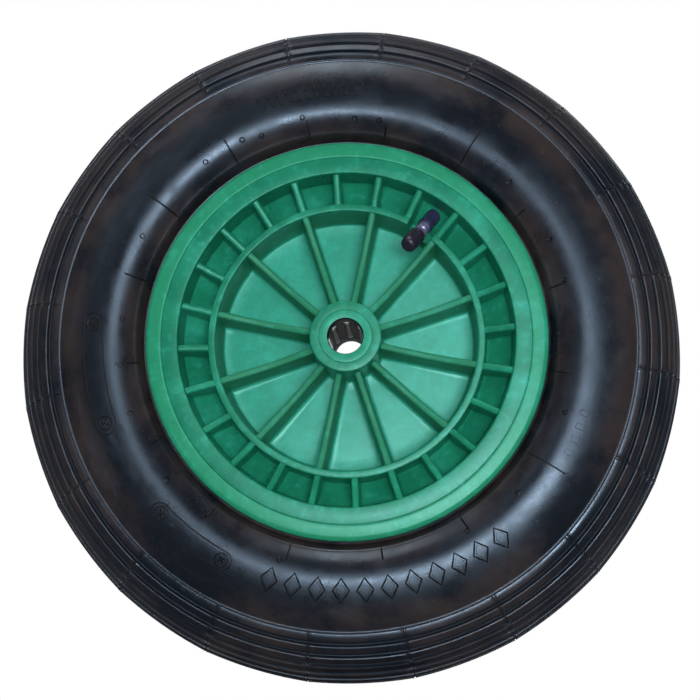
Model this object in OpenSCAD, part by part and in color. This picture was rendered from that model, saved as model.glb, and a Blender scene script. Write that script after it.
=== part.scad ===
// Pneumatic wheelbarrow wheel: ribbed tyre and inner tube on a one-piece spoked plastic rim.
// Frame: origin at the wheel's centre, +Z up, the wheel spins about Y, the valve faces -Y.

/* [Tyre] */
// Outer diameter of the inflated tyre
tyre_d = 400; // [396:1:404]
// Greatest width of the inflated tyre
tyre_w = 100; // [98:1:102]
// Number of grooves across the tread, shoulder to shoulder
tread_grooves = 14; // [10:2:16]
// Depth of the tread grooves
groove_depth = 2.4; // [1:0.2:3]
// Width of a tread groove
groove_w = 3.4; // [2:0.2:4]

/* [Rim] */
// Diameter of the seat that the tyre's beads sit on
bead_seat_d = 203.2; // [203:0.1:203.4]
// Outer diameter of the rim flanges
flange_d = 234.6; // [232:0.2:235]
// Overall width of the rim over both flanges
rim_w = 82; // [80:0.5:84]
// Number of spokes on each side of the web
spoke_count = 12; // [8:2:16]
// Thickness of a spoke and of a pocket rib
spoke_t = 4.2; // [3:0.1:5]
// Angle of the first spoke, counter-clockwise from +X on the valve side
spoke_start = 18.4; // [0:0.1:30]
// Thickness of the web disc
web_t = 6; // [5:0.5:8]

/* [Hub and bearing] */
// Diameter of the axle that the hub takes
axle_d = 20; // [20:0.01:20.05]
// Diameter of the bore through the end caps
cap_bore_d = 20.6; // [20.5:0.1:20.8]
// Length of the hub over its two faces
hub_len = 86; // [84:1:90]
// Outer diameter of the hub
hub_d = 41.4; // [40:0.2:44]
// Diameter of a steel roller
roller_d = 5; // [4.9:0.02:5]
// Number of rollers in the cage
roller_count = 8; // [8]
// Length of the roller cage
cage_len = 60; // [56:1:60]

/* [Valve] */
// Angle of the valve, counter-clockwise from +X on the valve side
valve_angle = 55.85; // [55:0.05:56.5]
// Rise of the valve's axis from the direction that points at the hub
valve_rise = 38; // [36:1:40]
// Distance from the pocket floor to the tip of the cap
valve_len = 36; // [34:0.5:36]

/* [Hidden] */
$fn = 96;

// Tyre section: three arcs a side, given as distance from the axle and height from the mid-plane
tyre_r = tyre_d / 2;
half_w = tyre_w / 2;
max_width_r = 143;
shoulder_r = 167;
shoulder_h = half_w - 6.5;
tread_arc_c = (tyre_r * tyre_r - shoulder_r * shoulder_r - shoulder_h * shoulder_h)
    / (2 * (tyre_r - shoulder_r));
tread_arc_r = tyre_r - tread_arc_c;
upper_arc_r = (pow(shoulder_r - max_width_r, 2) + pow(half_w - shoulder_h, 2))
    / (2 * (half_w - shoulder_h));
foot_r = 119.2;
foot_h = half_w - 12.6;
lower_arc_r = (pow(max_width_r - foot_r, 2) + pow(half_w - foot_h, 2)) / (2 * (half_w - foot_h));
shoulder_a = atan2(shoulder_h, shoulder_r - tread_arc_c);
upper_a = atan2(shoulder_h - half_w + upper_arc_r, shoulder_r - max_width_r);
lower_a = atan2(foot_h - half_w + lower_arc_r, foot_r - max_width_r);
groove_step = 2 * 70 / tread_grooves;
tread_t = 6.4;
wall_t = 4.8;
tube_t = 1.4;
skin_gap = 0.3;
seat_gap = 0.2;

// Rim section
seat_r = bead_seat_d / 2;
flange_r = flange_d / 2;
rim_h = rim_w / 2;
flange_t = 5;
lip_round = 3.2;
crease_r = 108;
barrel_in_r = 98;
well_r = 87;
well_h = 9.2;
well_top_h = 21.2;
ring_in_r = 77.2;
ring_out_r = 81.3;
ring_h = 33;
pocket_foot_r = 84;
pocket_foot_h = 12;
floor_slope = 0.786;
web_h = web_t / 2;
web_out_r = ring_in_r - 0.9;
spoke_dip = 5;
spoke_end_h = ring_h - 0.8;
rib_lip_h = 38.5;
seat_fillet = 3;
notch_h = 17;
notch_w = 16.4;

// Hub and bearing
hub_h = hub_len / 2;
hub_r = hub_d / 2;
hub_foot_r = hub_r + 0.8;
roller_r = roller_d / 2;
axle_play = 0.09;
pitch_r = axle_d / 2 + axle_play + roller_r;
race_play = 0.07;
race_r = pitch_r + roller_r + race_play;
race_h = cage_len / 2 + 0.5;
cap_step = 0.3;
cap_seat_r = race_r + cap_step;
cage_wall_out_r = 14.8;
cage_wall_in_r = 10.9;
cage_ring_in_r = 13;
cage_ring_t = 2;
roller_gap = 0.15;
pocket_gap = 0.08;

// Valve: distances along its own axis from the pocket floor
valve_foot_r = 92.5;
valve_foot_h = pocket_foot_h + floor_slope * (valve_foot_r - pocket_foot_r);
rubber_r = 4.8;
rubber_lip_r = 4.2;
rubber_top = 15;
rubber_foot = -5;
brass_r = 3.85;
brass_top = valve_len - 4;
brass_foot = -5.6;
air_r = 1.6;
chamber_r = 2.6;
chamber_foot = 14;
cap_r = 5;
cap_len = 14;
cap_foot = valve_len - cap_len;
barrel_top = brass_top - 1;
barrel_foot = barrel_top - 9;
core_bore_r = 0.95;
core_gap = 0.05;
spring_bore_r = 1.6;
spring_seat_h = barrel_foot + 3.6;
spring_mean_r = 1.2;
spring_wire_r = 0.2;
spring_turns = 5;
pin_r = 0.6;
pin_top = brass_top - 0.2;
pin_foot = barrel_foot - 6;
pin_head_r = 1.35;
pin_head_t = 0.6;
pin_travel = 1.2;
seal_r = 1.9;
seal_t = 1.15;
seal_cup_r = 1.7;
seal_cup_t = 1.5;
cap_taper = 1.5;
thread_gap = 0.07;
cap_roof = 2;
washer_r = 1.5;

function arc(cx, cy, r, a0, a1, n) =
    [for (i = [0:n]) let (a = a0 + (a1 - a0) * i / n) [cx + r * cos(a), cy + r * sin(a)]];

function flipped(pts) = [for (i = [len(pts) - 1:-1:0]) [pts[i][0], -pts[i][1]]];

// A groove in the tread, as four points of the section
function groove(a) =
    let (half_a = asin(groove_w / 2 / tread_arc_r))
    [
        for (q = [[-1, 0], [-0.75, 1], [0.75, 1], [1, 0]])
            let (r = tread_arc_r - q[1] * groove_depth, b = a + q[0] * half_a)
            [tread_arc_c + r * cos(b), r * sin(b)]
    ];

// Outer half section from the middle of the tread to the foot of the sidewall
function tyre_tread_half() = concat(
    [[tyre_r, 0]],
    [for (k = [0:tread_grooves / 2 - 1]) each groove((k + 0.5) * groove_step)],
    [[shoulder_r, shoulder_h]]
);

function tyre_side_half(t) = concat(
    arc(max_width_r, half_w - upper_arc_r, upper_arc_r - t, upper_a, 90, 6),
    [for (p = arc(max_width_r, half_w - lower_arc_r, lower_arc_r - t, 90, lower_a, 8))
        if (p[0] < max_width_r - 0.01) p]
);

function tyre_inner_half(t_tread, t_wall) = concat(
    arc(tread_arc_c, 0, tread_arc_r - t_tread, 0, shoulder_a, 8),
    tyre_side_half(t_wall)
);

// Seen from the valve side: X right, Y up, Z towards the viewer
module faced() {
    rotate([90, 0, 0]) children();
}

module valve_axis() {
    faced()
        rotate([0, 0, valve_angle])
            translate([valve_foot_r, 0, valve_foot_h])
                rotate([0, valve_rise - 90, 0])
                    children();
}

module rod(r, z0, z1) {
    translate([0, 0, z0]) cylinder(r = r, h = z1 - z0);
}

module sleeve(r_out, r_in, z0, z1) {
    difference() {
        rod(r_out, z0, z1);
        rod(r_in, z0 - 1, z1 + 1);
    }
}

module tyre() {
    bead = [
        [foot_r - 0.6, rim_h - flange_t - skin_gap],
        [seat_r + seat_fillet + skin_gap, rim_h - flange_t - skin_gap],
        [seat_r + seat_gap, rim_h - flange_t - seat_fillet - skin_gap],
        [seat_r + seat_gap, 24],
        [seat_r + 2.4, 22.6],
        [116, 27.5]
    ];
    outer = concat(tyre_tread_half(), tyre_side_half(0), bead);
    inner = tyre_inner_half(tread_t, wall_t);
    half = concat(outer, [for (i = [len(inner) - 1:-1:0]) inner[i]]);
    color("#1d2026")
        faced()
            rotate_extrude() {
                polygon(half);
                polygon(flipped(half));
            }
}

module inner_tube() {
    g = skin_gap;
    outer = concat(
        tyre_inner_half(tread_t + g, wall_t + g),
        [[115.9, 27], [seat_r + 2.4, 22.2], [seat_r, well_top_h - 0.6], [well_r + 0.5, well_h - 0.5]]
    );
    t = g + tube_t;
    inner = concat(
        tyre_inner_half(tread_t + t, wall_t + t),
        [[115, 24.6], [seat_r + 2.4, 19.9], [seat_r + 0.9, 18.6], [well_r + 2.3, well_h - 1.6]]
    );
    color("#2a2d33")
        difference() {
            faced()
                rotate_extrude()
                    difference() {
                        polygon(concat(outer, flipped(outer)));
                        polygon(concat(inner, flipped(inner)));
                    }
            valve_axis() rod(brass_r + core_gap, -12, 2);
        }
}

// Outer half section of the ring, from the web to the crease in the lip
function ring_half() = [
    [web_out_r, web_h],
    [ring_in_r, ring_h],
    [ring_out_r, ring_h],
    [pocket_foot_r, pocket_foot_h],
    [barrel_in_r - 0.6, pocket_floor(barrel_in_r - 0.6)],
    [barrel_in_r, rim_h],
    [crease_r - 0.6, rim_h],
    [crease_r, rim_h - 0.6],
    [crease_r + 0.6, rim_h]
];

function pocket_floor(r) = pocket_foot_h + floor_slope * (r - pocket_foot_r);

function rim_lip() = concat(
    arc(flange_r - lip_round, rim_h - lip_round, lip_round, 90, -30, 8),
    [
        [flange_r - 1.6, rim_h - flange_t],
        [seat_r + seat_fillet, rim_h - flange_t],
        [seat_r, rim_h - flange_t - seat_fillet],
        [seat_r, well_top_h],
        [well_r, well_h]
    ]
);

// A plate that stands on a radius of the wheel
module radial_plate(k) {
    rotate([0, 0, spoke_start + k * 180 / spoke_count])
        rotate([90, 0, 0])
            translate([0, 0, -spoke_t / 2])
                linear_extrude(spoke_t)
                    children();
}

// Section of a rib that crosses the pocket, sunk into the walls round it
module pocket_rib() {
    sink = 1.8;
    foot_h = pocket_foot_h - 3;
    rib = [
        [ring_in_r + sink, foot_h],
        [pocket_foot_r, pocket_foot_h - sink],
        [barrel_in_r + sink, pocket_floor(barrel_in_r) - sink],
        [barrel_in_r + sink, rib_lip_h],
        [ring_in_r + sink, ring_h - 0.3]
    ];
    polygon(rib);
    polygon(flipped(rib));
}

module rim_ring() {
    half = concat(ring_half(), rim_lip());
    color("#35936b")
        difference() {
            faced()
                union() {
                    rotate_extrude() polygon(concat(half, flipped(half)));
                    for (k = [0:2 * spoke_count - 1])
                        radial_plate(k) pocket_rib();
                }
            valve_axis() rod(rubber_r + 0.15, -8, 6);
            // Notch in the ring rib that the valve lies in
            faced()
                rotate([0, 0, valve_angle])
                    translate([ring_in_r - 4, -notch_w / 2, notch_h])
                        cube([10, notch_w, ring_h]);
        }
}

module web_disc() {
    color("#35936b")
        faced() sleeve(web_out_r, hub_foot_r, -web_h, web_h);
}

// Twelve upright plates between the hub and the ring, each with a dipped top edge
module spokes() {
    steps = 8;
    run = ring_in_r - hub_r;
    top = [
        for (i = [0:steps])
            [hub_r + run * i / steps, spoke_end_h - spoke_dip * sin(180 * i / steps)]
    ];
    hub_side_r = hub_r + (hub_foot_r - hub_r) * (hub_h - ring_h) / (hub_h - web_h);
    bay = [[hub_foot_r, web_h], [web_out_r, web_h], [ring_in_r, ring_h], [hub_side_r, ring_h]];
    color("#35936b")
        intersection() {
            rotate_extrude() polygon(bay);
            for (k = [0:spoke_count - 1])
                radial_plate(2 * k)
                    polygon(concat([[hub_r, web_h - 1]], top, [[ring_in_r, web_h - 1]]));
        }
}

module spokes_front() {
    faced() spokes();
}

module spokes_rear() {
    faced() mirror([0, 0, 1]) spokes();
}

module hub_barrel() {
    color("#35936b")
        faced()
            rotate_extrude()
                polygon([
                    [race_r, race_h], [cap_seat_r, race_h], [cap_seat_r, hub_h], [hub_r, hub_h],
                    [hub_foot_r, web_h], [hub_foot_r, -web_h], [hub_r, -hub_h],
                    [cap_seat_r, -hub_h], [cap_seat_r, -race_h], [race_r, -race_h]
                ]);
}

module end_cap(side) {
    color("#3a9c73")
        faced()
            difference() {
                rod(cap_seat_r, min(side * race_h, side * hub_h), max(side * race_h, side * hub_h));
                rod(cap_bore_d / 2, -hub_h - 1, hub_h + 1);
            }
}

module end_cap_front() {
    end_cap(1);
}

module end_cap_rear() {
    end_cap(-1);
}

module bearing_cage() {
    pocket_h = cage_len / 2 - cage_ring_t;
    recess_h = pocket_h - 0.4;
    section = [
        [cage_ring_in_r, cage_len / 2],
        [cage_wall_out_r, cage_len / 2],
        [cage_wall_out_r, -cage_len / 2],
        [cage_ring_in_r, -cage_len / 2],
        [cage_ring_in_r, -recess_h],
        [cage_wall_in_r, -recess_h],
        [cage_wall_in_r, recess_h],
        [cage_ring_in_r, recess_h]
    ];
    color("#1b1d28")
        faced()
            difference() {
                rotate_extrude() polygon(section);
                for (k = [0:roller_count - 1])
                    rotate([0, 0, k * 360 / roller_count])
                        translate([pitch_r, 0, 0])
                            rotate([0, 0, 90])
                                rod(roller_r + pocket_gap, -pocket_h, pocket_h);
            }
}

// Roller k of the ring, counted counter-clockwise on the valve side
module roller(k) {
    half = cage_len / 2 - cage_ring_t - roller_gap;
    chamfer = 0.3;
    color("#c9ced6")
        faced()
            rotate([0, 0, (k - 1) * 360 / roller_count])
                translate([pitch_r, 0, 0])
                    rotate_extrude()
                        polygon([
                            [0, -half], [roller_r - chamfer, -half], [roller_r, -half + chamfer],
                            [roller_r, half - chamfer], [roller_r - chamfer, half], [0, half]
                        ]);
}

module valve_stem_rubber() {
    color("#20242e")
        valve_axis()
            difference() {
                union() {
                    rod(rubber_r, rubber_foot, rubber_top - 2);
                    translate([0, 0, rubber_top - 2])
                        cylinder(r1 = rubber_r, r2 = rubber_lip_r, h = 2);
                }
                rod(brass_r, rubber_foot - 1, rubber_top + 1);
            }
}

module valve_stem_brass() {
    color("#b9b6a6")
        valve_axis()
            difference() {
                rod(brass_r, brass_foot, brass_top);
                rod(air_r, brass_foot - 1, brass_top + 1);
                rod(chamber_r, chamber_foot, brass_top + 1);
            }
}

module valve_core_barrel() {
    color("#c8a45a")
        valve_axis()
            difference() {
                rod(chamber_r - core_gap, barrel_foot, barrel_top);
                rod(core_bore_r, barrel_foot - 1, barrel_top + 1);
                rod(spring_bore_r, spring_seat_h, barrel_top + 1);
            }
}

module valve_core_pin() {
    cup_top = barrel_foot - core_gap - seal_t - 0.1;
    color("#d2b068")
        valve_axis() {
            rod(pin_r, pin_foot, pin_top);
            sleeve(pin_head_r, pin_r, pin_top - pin_head_t, pin_top);
            sleeve(seal_cup_r, pin_r, cup_top - seal_cup_t, cup_top);
        }
}

module valve_core_seal() {
    color("#303030")
        valve_axis()
            sleeve(seal_r, core_bore_r, barrel_foot - core_gap - seal_t, barrel_foot - core_gap);
}

// A coil spring as one closed tube swept along a helix
module coil(mean_r, wire_r, z0, z1, turns) {
    steps = 18;
    sides = 6;
    rings = turns * steps;
    points = [
        for (i = [0:rings], j = [0:sides - 1])
            let (a = 360 * i / steps, b = 360 * j / sides, r = mean_r + wire_r * cos(b))
            [r * cos(a), r * sin(a), z0 + wire_r + (z1 - z0 - 2 * wire_r) * i / rings + wire_r * sin(b)]
    ];
    walls = [
        for (i = [0:rings - 1], j = [0:sides - 1])
            let (n = (j + 1) % sides)
            [i * sides + j, (i + 1) * sides + j, (i + 1) * sides + n, i * sides + n]
    ];
    ends = [
        [for (j = [0:sides - 1]) j],
        [for (j = [sides - 1:-1:0]) rings * sides + j]
    ];
    polyhedron(points = points, faces = concat(walls, ends), convexity = 8);
}

module valve_core_spring() {
    color("#d8d8d8")
        valve_axis()
            coil(spring_mean_r, spring_wire_r, spring_seat_h + 0.1,
                pin_top - pin_head_t - pin_travel - 0.1, spring_turns);
}

module valve_cap() {
    color("#15161c")
        valve_axis()
            difference() {
                union() {
                    rod(cap_r, cap_foot, valve_len - cap_taper);
                    translate([0, 0, valve_len - cap_taper])
                        cylinder(r1 = cap_r, r2 = cap_r - cap_taper, h = cap_taper);
                }
                rod(brass_r + thread_gap, cap_foot - 1, valve_len - cap_roof);
            }
}

module valve_cap_washer() {
    color("#3c3c3c")
        valve_axis() sleeve(brass_r, washer_r, brass_top + 0.4, valve_len - cap_roof - core_gap);
}

tyre();
inner_tube();
rim_ring();
web_disc();
spokes_front();
spokes_rear();
hub_barrel();
end_cap_front();
end_cap_rear();
bearing_cage();
roller(1);  // roller_1
roller(2);  // roller_2
roller(3);  // roller_3
roller(4);  // roller_4
roller(5);  // roller_5
roller(6);  // roller_6
roller(7);  // roller_7
roller(8);  // roller_8
valve_stem_rubber();
valve_stem_brass();
valve_core_barrel();
valve_core_pin();
valve_core_spring();
valve_core_seal();
valve_cap();
valve_cap_washer();
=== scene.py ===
"""Looks of a pneumatic wheelbarrow wheel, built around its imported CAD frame.

Row frame: metres, +Z up, origin at the wheel's centre. The wheel spins about Y and its valve side faces -Y.
Sizes in the classes are millimetres, in the face frame: a radius, an angle seen from the valve side and a
height above the wheel's mid-plane, towards the valve side.
"""
import logging
import math
from dataclasses import dataclass
from enum import Enum
from typing import Any, Callable, Iterable, Sequence

import bmesh
import bpy
import numpy as np
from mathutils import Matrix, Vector


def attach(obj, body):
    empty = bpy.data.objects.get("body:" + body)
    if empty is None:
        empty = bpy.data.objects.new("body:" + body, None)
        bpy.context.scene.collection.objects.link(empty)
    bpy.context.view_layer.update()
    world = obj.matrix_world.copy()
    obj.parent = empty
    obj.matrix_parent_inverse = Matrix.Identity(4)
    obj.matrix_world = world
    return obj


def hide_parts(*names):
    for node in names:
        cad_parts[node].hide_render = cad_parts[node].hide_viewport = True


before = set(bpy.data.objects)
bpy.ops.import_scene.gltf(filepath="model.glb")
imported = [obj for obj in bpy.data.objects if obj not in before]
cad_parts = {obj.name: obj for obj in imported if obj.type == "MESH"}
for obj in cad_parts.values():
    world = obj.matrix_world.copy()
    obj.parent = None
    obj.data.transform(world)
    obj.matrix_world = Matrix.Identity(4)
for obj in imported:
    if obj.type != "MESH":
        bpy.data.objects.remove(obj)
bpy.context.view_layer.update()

LOG = logging.getLogger("wheel")
MM = 0.001
FULL_TURN = 2 * math.pi
SMOOTH_ANGLE = math.radians(38)
WELD_M = 1e-7
MOST_ROUNDED = 0.48
MEAN = 0.5  # of a noise

Point2 = tuple[float, float]
Corner = tuple[float, float, float]
Band = tuple[float, float]
Colour = tuple[float, float, float]
Stretch = tuple[float, float, float]
WHITE: Colour = (1.0, 1.0, 1.0)


class Side(Enum):
    """The two faces of the wheel."""

    FRONT = 1
    REAR = -1

    @property
    def label(self) -> str:
        """The side's name in the names of pieces."""
        return self.name.lower()


# --- Node trees ---


class Wire:
    """A value socket that takes part in arithmetic, each operation adding its Math node."""

    def __init__(self, book: "Book", socket: bpy.types.NodeSocket) -> None:
        """Holds the socket and the book that adds nodes."""
        self.book = book
        self.socket = socket

    def _math(self, operation: str, first: Any, second: Any = 0.0) -> "Wire":
        """Adds one Math node.

        Args:
            operation: The Math node's operation.
            first: Its first operand, a wire or a number.
            second: Its second operand.

        Returns:
            The node's result.
        """
        kind = "ShaderNodeMath"
        return self.book.wire(self.book.node(kind, {"operation": operation}, {0: first, 1: second}))

    def __add__(self, other: Any) -> "Wire":
        """Sum."""
        return self._math("ADD", self, other)

    __radd__ = __add__

    def __sub__(self, other: Any) -> "Wire":
        """Difference."""
        return self._math("SUBTRACT", self, other)

    def __rsub__(self, other: Any) -> "Wire":
        """Difference with this wire on the right."""
        return self._math("SUBTRACT", other, self)

    def __mul__(self, other: Any) -> "Wire":
        """Product."""
        return self._math("MULTIPLY", self, other)

    __rmul__ = __mul__

    def __truediv__(self, other: Any) -> "Wire":
        """Quotient."""
        return self._math("DIVIDE", self, other)

    def root(self) -> "Wire":
        """Square root."""
        return self._math("SQRT", self)

    def step(self, low: float, high: float) -> "Wire":
        """A smooth rise from 0 at low to 1 at high."""
        settings = {"interpolation_type": "SMOOTHSTEP"}
        sockets = {"Value": self, "From Min": low, "From Max": high}
        return self.book.wire(self.book.node("ShaderNodeMapRange", settings, sockets))


@dataclass(frozen=True)
class Grain:
    """Settings of one noise: cells a metre, octaves, the weight of the finer ones, and a contrast band."""

    scale: float
    detail: float = 3.0
    roughness: float = 0.5
    band: Band | None = None


class Book:
    """Adds nodes to one node tree."""

    def __init__(self, tree: bpy.types.NodeTree) -> None:
        """Holds the tree."""
        self.tree = tree

    def node(self, kind: str, settings: dict | None = None, sockets: dict | None = None) -> bpy.types.Node:
        """Adds a node.

        Args:
            kind: The node's type.
            settings: Its settings, set first.
            sockets: Input sockets by name or index, each a number, a colour, a socket or a wire.

        Returns:
            The new node.
        """
        node = self.tree.nodes.new(kind)
        for name, value in (settings or {}).items():
            setattr(node, name, value)
        for key, value in (sockets or {}).items():
            target = node.inputs[key]
            if isinstance(value, Wire):
                self.tree.links.new(value.socket, target)
            elif isinstance(value, bpy.types.NodeSocket):
                self.tree.links.new(value, target)
            elif isinstance(value, tuple) and len(value) == 3 and target.type == "RGBA":
                target.default_value = (*value, 1.0)
            else:
                target.default_value = value
        return node

    def wire(self, node: bpy.types.Node, key: int | str = 0) -> Wire:
        """One of a node's outputs as a wire."""
        return Wire(self, node.outputs[key])

    def noise(self, vector: Any, grain: Grain) -> Wire:
        """Three-dimensional noise between 0 and 1.

        Args:
            vector: The coordinates to read.
            grain: The noise's settings. With a band, the band's ends become 0 and 1.

        Returns:
            The noise value.
        """
        sockets = {"Scale": grain.scale, "Detail": grain.detail, "Roughness": grain.roughness}
        value = self.wire(self.node("ShaderNodeTexNoise", {}, {"Vector": vector, **sockets}), "Fac")
        return value.step(*grain.band) if grain.band else value

    def mapped(self, vector: Any, scale: Stretch, turn: float = 0.0) -> bpy.types.NodeSocket:
        """Coordinates turned about Y and stretched.

        Args:
            vector: The coordinates to read.
            scale: Stretch along each axis.
            turn: Turn about Y in radians.

        Returns:
            The new coordinates' socket.
        """
        sockets = {"Vector": vector, "Rotation": (0.0, turn, 0.0), "Scale": scale}
        return self.node("ShaderNodeMapping", {}, sockets).outputs[0]

    def along_axle(self, vector: Any) -> Wire:
        """The coordinate along the axle."""
        return self.wire(self.node("ShaderNodeSeparateXYZ", {}, {0: vector}), "Y")

    def mix(self, factor: Any, first: Any, second: Any) -> bpy.types.NodeSocket:
        """Blends two colours.

        Args:
            factor: Weight of the second colour.
            first: A colour or a colour socket.
            second: A colour or a colour socket.

        Returns:
            The blended colour's socket.
        """
        node = self.node("ShaderNodeMix", {"data_type": "RGBA"}, {"Factor": factor, 6: first, 7: second})
        return node.outputs[2]


# --- Finishes ---


@dataclass(frozen=True)
class Finish:
    """A procedural material: a Principled surface with colour, roughness and bump by position."""

    name: str
    colour: Colour
    roughness: float = 0.5
    metallic: float = 0.0
    specular: float = 0.5
    tint: Colour = WHITE
    shade: float = 0.8
    uneven: float = 0.12
    relief_m: float = 0.00004
    grain: Grain = Grain(900.0, 2.0)
    patch: Grain = Grain(60.0, 4.0)

    def dark(self) -> Colour:
        """The colour of the darker patches."""
        return tuple(self.shade * part for part in self.colour)

    def material(self) -> bpy.types.Material:
        """Builds the material once, or returns it if it is there.

        Returns:
            The material.
        """
        found = bpy.data.materials.get(self.name)
        if found:
            return found
        material = bpy.data.materials.new(self.name)
        material.use_nodes = True
        material.node_tree.nodes.clear()
        book = Book(material.node_tree)
        shader = self.shader(book, book.node("ShaderNodeTexCoord").outputs["Object"])
        book.node("ShaderNodeOutputMaterial", {}, {"Surface": shader.outputs[0]})
        material.diffuse_color = (*self.colour, 1.0)
        return material

    def shader(self, book: Book, place: Any) -> bpy.types.Node:
        """The shader, with the surface's values wired in.

        Args:
            book: Adds nodes.
            place: The object coordinates.

        Returns:
            The shader's node.
        """
        colour, roughness, relief = self.surface(book, place)
        bump = book.node("ShaderNodeBump", {}, {"Height": relief, "Distance": self.relief_m, "Strength": 1.0})
        sockets = {
            "Base Color": colour,
            "Roughness": roughness,
            "Metallic": self.metallic,
            "Specular IOR Level": self.specular,
            "Specular Tint": self.tint,
            "Normal": bump.outputs[0],
        }
        return book.node("ShaderNodeBsdfPrincipled", {}, sockets)

    def surface(self, book: Book, place: Any) -> tuple[Any, Wire, Wire]:
        """Colour, roughness and relief at each place.

        Args:
            book: Adds nodes.
            place: The object coordinates.

        Returns:
            The colour socket, the roughness, and the relief between 0 and 1.
        """
        grain = book.noise(place, self.grain)
        patch = book.noise(place, self.patch)
        colour = book.mix(patch, self.dark(), self.colour)
        return colour, self.roughness + self.uneven * (patch - MEAN), grain


def round_axle(book: Book, place: Any, around: float, outward: float) -> tuple[Wire, Any]:
    """Distance from the axle's line, and coordinates that run round it without a seam.

    Args:
        book: Adds nodes.
        place: The object coordinates.
        around: Stretch of the coordinates round the axle.
        outward: Stretch of the coordinate away from it, a metre.

    Returns:
        The radius in metres, and the coordinates' socket.
    """
    parts = book.node("ShaderNodeSeparateXYZ", {}, {0: place})
    across = book.wire(parts, "X")
    up = book.wire(parts, "Z")
    radius = (across * across + up * up).root()
    sockets = {"X": across / radius * around, "Y": up / radius * around, "Z": radius * outward}
    return radius, book.node("ShaderNodeCombineXYZ", {}, sockets).outputs[0]


@dataclass(frozen=True)
class RimPlastic(Finish):
    """Moulded polypropylene: flow marks out from the hub, whitish haze in random patches, a web painted
    lighter as a sheen, rougher spokes painted darker as shade, a lip painted a little lighter as a sheen and
    a near-black bore.

    Radii, heights and the width of an edge between two zones are in metres. The plain factors in surface are
    the share of each mark in the colour, the roughness or the relief.
    """

    haze: Colour = (0.070, 0.56, 0.42)
    # Lighter green on the web: a painted sheen.
    web: Colour = (0.048, 0.400, 0.275)
    # Darker green on the spokes: painted shade. The same colour marks the hub nose's turned rings and the
    # dull patches.
    spoke: Colour = (0.024, 0.205, 0.100)
    # A little lighter green on the lip: a painted sheen.
    lip: Colour = (0.020, 0.265, 0.130)
    # Near-black painted over the bore and round the cage seat.
    grease: Colour = (0.004, 0.003, 0.008)
    web_top: Band = (0.0045, 0.0085)
    spoke_top: Band = (0.0325, 0.0328)
    spoke_ends: Band = (0.0216, 0.0768)
    lip_r: float = 0.1076
    bore_r: float = 0.0107
    cage_r: float = 0.0152
    cage_h: float = 0.0309
    nose_r: float = 0.0208
    edge: float = 0.0004
    shade: float = 0.72
    uneven: float = 0.16
    relief_m: float = 0.00005
    flow_band: Band = (0.36, 0.66)
    haze_band: Band = (0.48, 0.72)
    mottle_band: Band = (0.5, 0.75)
    dull_band: Band = (0.46, 0.72)
    flow_stretch: Point2 = (6.0, 12.0)
    scuff_stretch: Stretch = (1.0, 1.0, 9.0)
    scuff_turn: float = 0.7
    flow: Grain = Grain(1.6, 4.0, 0.6)
    cloud: Grain = Grain(24.0, 5.0, 0.62)
    speck: Grain = Grain(1500.0, 2.0)
    scuff: Grain = Grain(210.0, 5.0, 0.75, (0.66, 0.78))
    ring: Grain = Grain(1300.0, 3.0, 0.7, (0.4, 0.62))
    mottle: Grain = Grain(190.0, 5.0, 0.72)
    peel: Grain = Grain(420.0, 2.0)

    def zones(self, book: Book, place: Any, radius: Wire) -> tuple[Wire, Wire, Wire, Wire]:
        """Weights of the web, the spokes, the lip and the bore.

        Args:
            book: Adds nodes.
            place: The object coordinates.
            radius: Distance from the axle's line in metres.

        Returns:
            The four weights.
        """
        along = book.along_axle(place)
        height = (along * along).root()
        inner, outer = self.spoke_ends
        above_web = height.step(*self.web_top)
        between = radius.step(inner, inner + self.edge) * (1.0 - radius.step(outer, outer + self.edge))
        spoke = above_web * (1.0 - height.step(*self.spoke_top)) * between
        lip = radius.step(self.lip_r, self.lip_r + self.edge)
        bore = 1.0 - radius.step(self.bore_r - self.edge / 4, self.bore_r)
        round_cage = 1.0 - radius.step(self.cage_r, self.cage_r + self.edge)
        beside_cage = 1.0 - height.step(self.cage_h, self.cage_h + self.edge)
        return 1.0 - above_web, spoke, lip, bore + round_cage * beside_cage

    def surface(self, book: Book, place: Any) -> tuple[Any, Wire, Wire]:
        """See Finish."""
        radius, flow_place = round_axle(book, place, *self.flow_stretch)
        web, spoke, lip, bore = self.zones(book, place, radius)
        flow = book.noise(flow_place, self.flow)
        cloud = book.noise(place, self.cloud)
        mottle = book.noise(place, self.mottle)
        scuff_place = book.mapped(place, self.scuff_stretch, self.scuff_turn)
        scuff = book.noise(scuff_place, self.scuff)
        ring_place = book.node("ShaderNodeCombineXYZ", {}, {"X": radius}).outputs[0]
        rings = book.noise(ring_place, self.ring)
        nose = 1.0 - radius.step(self.nose_r, self.nose_r + self.edge)
        hazy = cloud.step(*self.haze_band) * 0.24 + mottle.step(*self.mottle_band) * 0.30 + scuff * 0.26
        # Weight and colour of each layer, from the bottom up.
        layers = (
            # The web gets its painted sheen.
            (web * (0.55 + 0.45 * cloud), self.web),
            # The spokes get their painted shade.
            (spoke * 0.9, self.spoke),
            # The lip gets its painted sheen.
            (lip, self.lip),
            (nose * rings * 0.35, self.spoke),
            ((1.0 - mottle).step(*self.dull_band) * 0.22, self.spoke),
            (hazy, self.haze),
            # The bore and the cage seat are painted near-black.
            (bore, self.grease),
        )
        colour = book.mix((0.5 * flow + 0.5 * cloud).step(*self.flow_band), self.dark(), self.colour)
        for weight, layer in layers:
            colour = book.mix(weight, colour, layer)
        roughness = self.roughness + self.uneven * (cloud - MEAN) + 0.1 * (flow - MEAN) + 0.12 * scuff
        roughness = roughness + 0.16 * spoke - 0.06 * web
        relief = 0.7 * book.noise(place, self.peel) + 0.3 * book.noise(place, self.speck) + 0.15 * scuff
        return colour, roughness, relief


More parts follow.
